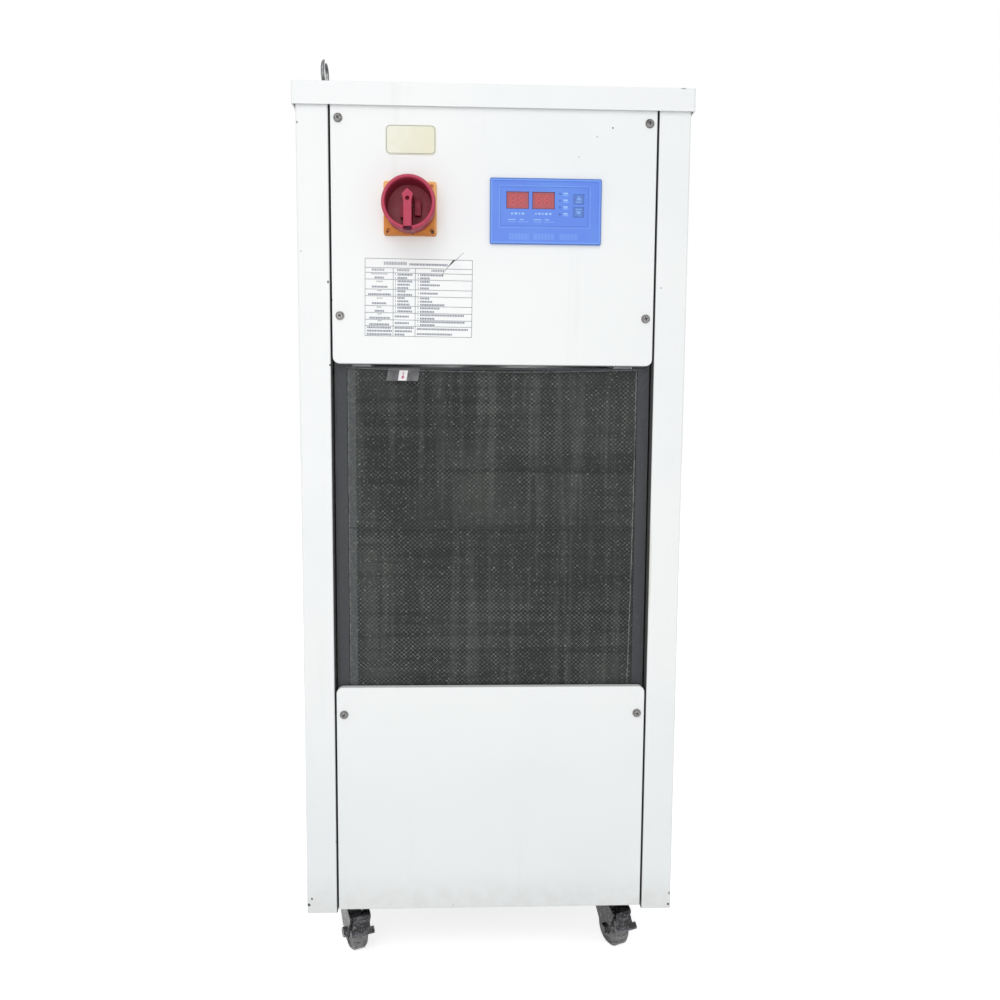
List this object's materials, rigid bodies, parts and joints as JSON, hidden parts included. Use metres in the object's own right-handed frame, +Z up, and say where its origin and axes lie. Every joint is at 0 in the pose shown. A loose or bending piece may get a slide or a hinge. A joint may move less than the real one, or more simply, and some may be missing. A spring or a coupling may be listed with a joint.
{
  "type": "recirculating chiller",
  "caption": "Floor-standing sheet-metal water chiller with a front air filter, digital controller, main switch, rear fan and water ports, on swivel casters.",
  "frame": {"origin": "on the floor under the middle of the cabinet", "axes": "+Z up, -Y out of the front with the controller, +X to the right seen from the front"},
  "size_m": [0.488, 0.644, 1.171],
  "materials": {
    "white_paint": "semi-gloss powder coat",
    "frame_paint": "satin",
    "galvanised": "galvanised",
    "screw_steel": "zinc plated",
    "eye_steel": "bright zinc",
    "switch_yellow": "satin",
    "switch_red": "satin",
    "black_plastic": "satin",
    "controller_blue": "satin",
    "display_red": "smoked",
    "key_blue": "satin",
    "filter_dark": "dusty",
    "filter_mesh": "dusty nylon screen",
    "film": "translucent film",
    "coil_aluminium": "fins",
    "copper": "copper",
    "brass": "turned",
    "stainless": "brushed",
    "compressor_black": "gloss black",
    "motor_paint": "satin",
    "rubber": "matt",
    "hose": "matt",
    "cream_plastic": "satin",
    "caster_black": "semi-gloss",
    "wheel_grey": "scuffed nylon"
  },
  "bodies": {
    "cabinet": {"base_pan": "frame_paint", "left_side_panel": "white_paint", "right_side_panel": "white_paint", "top_cap": "white_paint", "upper_front_panel": "white_paint", "lower_front_panel": "white_paint", "rear_panel": "white_paint", "left_upright": "frame_paint", "right_upright": "frame_paint", "lower_deck": "galvanised", "upper_deck": "galvanised", "panel_screws": "screw_steel", "lifting_eyes": "eye_steel", "switch_plate": "switch_yellow", "switch_body": "black_plastic", "controller_case": "controller_blue", "display_windows": "display_red", "condenser": "coil_aluminium", "fan_ring": "galvanised", "fan_guard": "black_plastic", "fan_motor": "compressor_black", "compressor": "compressor_black", "compressor_mounts": "rubber", "discharge_pipe": "copper", "liquid_pipe": "copper", "suction_pipe": "copper", "filter_drier": "copper", "evaporator": "stainless", "water_tank": "stainless", "pump_volute": "stainless", "pump_motor": "motor_paint", "pump_hose": "hose", "delivery_hose": "hose", "outlet_hose": "hose", "water_ports": "brass", "drain_valve": "brass", "cable_gland": "black_plastic", "contactors": "cream_plastic", "caster_plates": "caster_black"},
    "switch_knob": {"switch_handle": "switch_red", "switch_shaft": "screw_steel"},
    "padlock_slide": {"lock_slide": "switch_red"},
    "upper_button": {"upper_key": "key_blue"},
    "lower_button": {"lower_key": "key_blue"},
    "air_filter": {"filter_frame": "filter_dark", "filter_mesh": "filter_mesh", "pull_tab": "film"},
    "fan": {"fan_impeller": "black_plastic"},
    "filler": {"filler_cap": "black_plastic"},
    "drain_handle": {"drain_lever": "switch_red"},
    "front_left_swivel": {"front_left_fork": "caster_black"},
    "front_left_roller": {"front_left_wheel": "wheel_grey"},
    "front_left_brake": {"front_left_pedal": "caster_black"},
    "front_right_swivel": {"front_right_fork": "caster_black"},
    "front_right_roller": {"front_right_wheel": "wheel_grey"},
    "front_right_brake": {"front_right_pedal": "caster_black"},
    "rear_left_swivel": {"rear_left_fork": "caster_black"},
    "rear_left_roller": {"rear_left_wheel": "wheel_grey"},
    "rear_right_swivel": {"rear_right_fork": "caster_black"},
    "rear_right_roller": {"rear_right_wheel": "wheel_grey"}
  },
  "joints": [
    {"name": "switch_turn", "type": "hinge", "parent": "cabinet", "child": "switch_knob", "pos_m": [-0.1024, -0.3, 0.9784], "axis": [0, 1, 0], "range_deg": [0, 90]},
    {"name": "padlock_slide", "type": "slide", "parent": "switch_knob", "child": "padlock_slide", "axis": [0, -1, 0], "range_m": [0, 0.005]},
    {"name": "upper_key_press", "type": "slide", "parent": "cabinet", "child": "upper_button", "axis": [0, 1, 0], "range_m": [0, 0.0004], "stiffness_N_per_m": 800},
    {"name": "lower_key_press", "type": "slide", "parent": "cabinet", "child": "lower_button", "axis": [0, 1, 0], "range_m": [0, 0.0004], "stiffness_N_per_m": 800},
    {"name": "filter_tilt", "type": "hinge", "parent": "cabinet", "child": "air_filter", "pos_m": [0, -0.2686, 0.368], "axis": [1, 0, 0], "range_deg": [0, 10]},
    {"name": "fan_spin", "type": "hinge", "parent": "cabinet", "child": "fan", "pos_m": [0, 0.25, 0.586], "axis": [0, 1, 0], "continuous": true},
    {"name": "filler_cap_turn", "type": "hinge", "parent": "cabinet", "child": "filler", "pos_m": [-0.15, 0.30178, 0.32594], "axis": [0, 0.9397, 0.342], "range_deg": [0, 90]},
    {"name": "drain_turn", "type": "hinge", "parent": "cabinet", "child": "drain_handle", "pos_m": [-0.06, 0.3002, 0.132], "axis": [0, 0, -1], "range_deg": [0, 90]},
    {"name": "front_left_swivel", "type": "hinge", "parent": "cabinet", "child": "front_left_swivel", "pos_m": [-0.19, -0.2135, 0.065], "axis": [0, 0, 1], "continuous": true},
    {"name": "front_left_roll", "type": "hinge", "parent": "front_left_swivel", "child": "front_left_roller", "pos_m": [-0.18268, -0.22994, 0.025], "axis": [0.9135, 0.4067, 0], "continuous": true},
    {"name": "front_left_brake", "type": "hinge", "parent": "front_left_swivel", "child": "front_left_brake", "pos_m": [-0.17658, -0.24365, 0.051], "axis": [0.9135, 0.4067, 0], "range_deg": [0, 8], "stiffness_Nm_per_rad": 0.5},
    {"name": "front_right_swivel", "type": "hinge", "parent": "cabinet", "child": "front_right_swivel", "pos_m": [0.166, -0.2135, 0.065], "axis": [0, 0, 1], "continuous": true},
    {"name": "front_right_roll", "type": "hinge", "parent": "front_right_swivel", "child": "front_right_roller", "pos_m": [0.17332, -0.22994, 0.025], "axis": [0.9135, 0.4067, 0], "continuous": true},
    {"name": "front_right_brake", "type": "hinge", "parent": "front_right_swivel", "child": "front_right_brake", "pos_m": [0.17942, -0.24365, 0.051], "axis": [0.9135, 0.4067, 0], "range_deg": [0, 8], "stiffness_Nm_per_rad": 0.5},
    {"name": "rear_left_swivel", "type": "hinge", "parent": "cabinet", "child": "rear_left_swivel", "pos_m": [-0.178, 0.222, 0.065], "axis": [0, 0, 1], "continuous": true},
    {"name": "rear_left_roll", "type": "hinge", "parent": "rear_left_swivel", "child": "rear_left_roller", "pos_m": [-0.19431, 0.21439, 0.025], "axis": [0.4226, -0.9063, 0], "continuous": true},
    {"name": "rear_right_swivel", "type": "hinge", "parent": "cabinet", "child": "rear_right_swivel", "pos_m": [0.178, 0.222, 0.065], "axis": [0, 0, 1], "continuous": true},
    {"name": "rear_right_roll", "type": "hinge", "parent": "rear_right_swivel", "child": "rear_right_roller", "pos_m": [0.16169, 0.21439, 0.025], "axis": [0.4226, -0.9063, 0], "continuous": true}
  ]
}
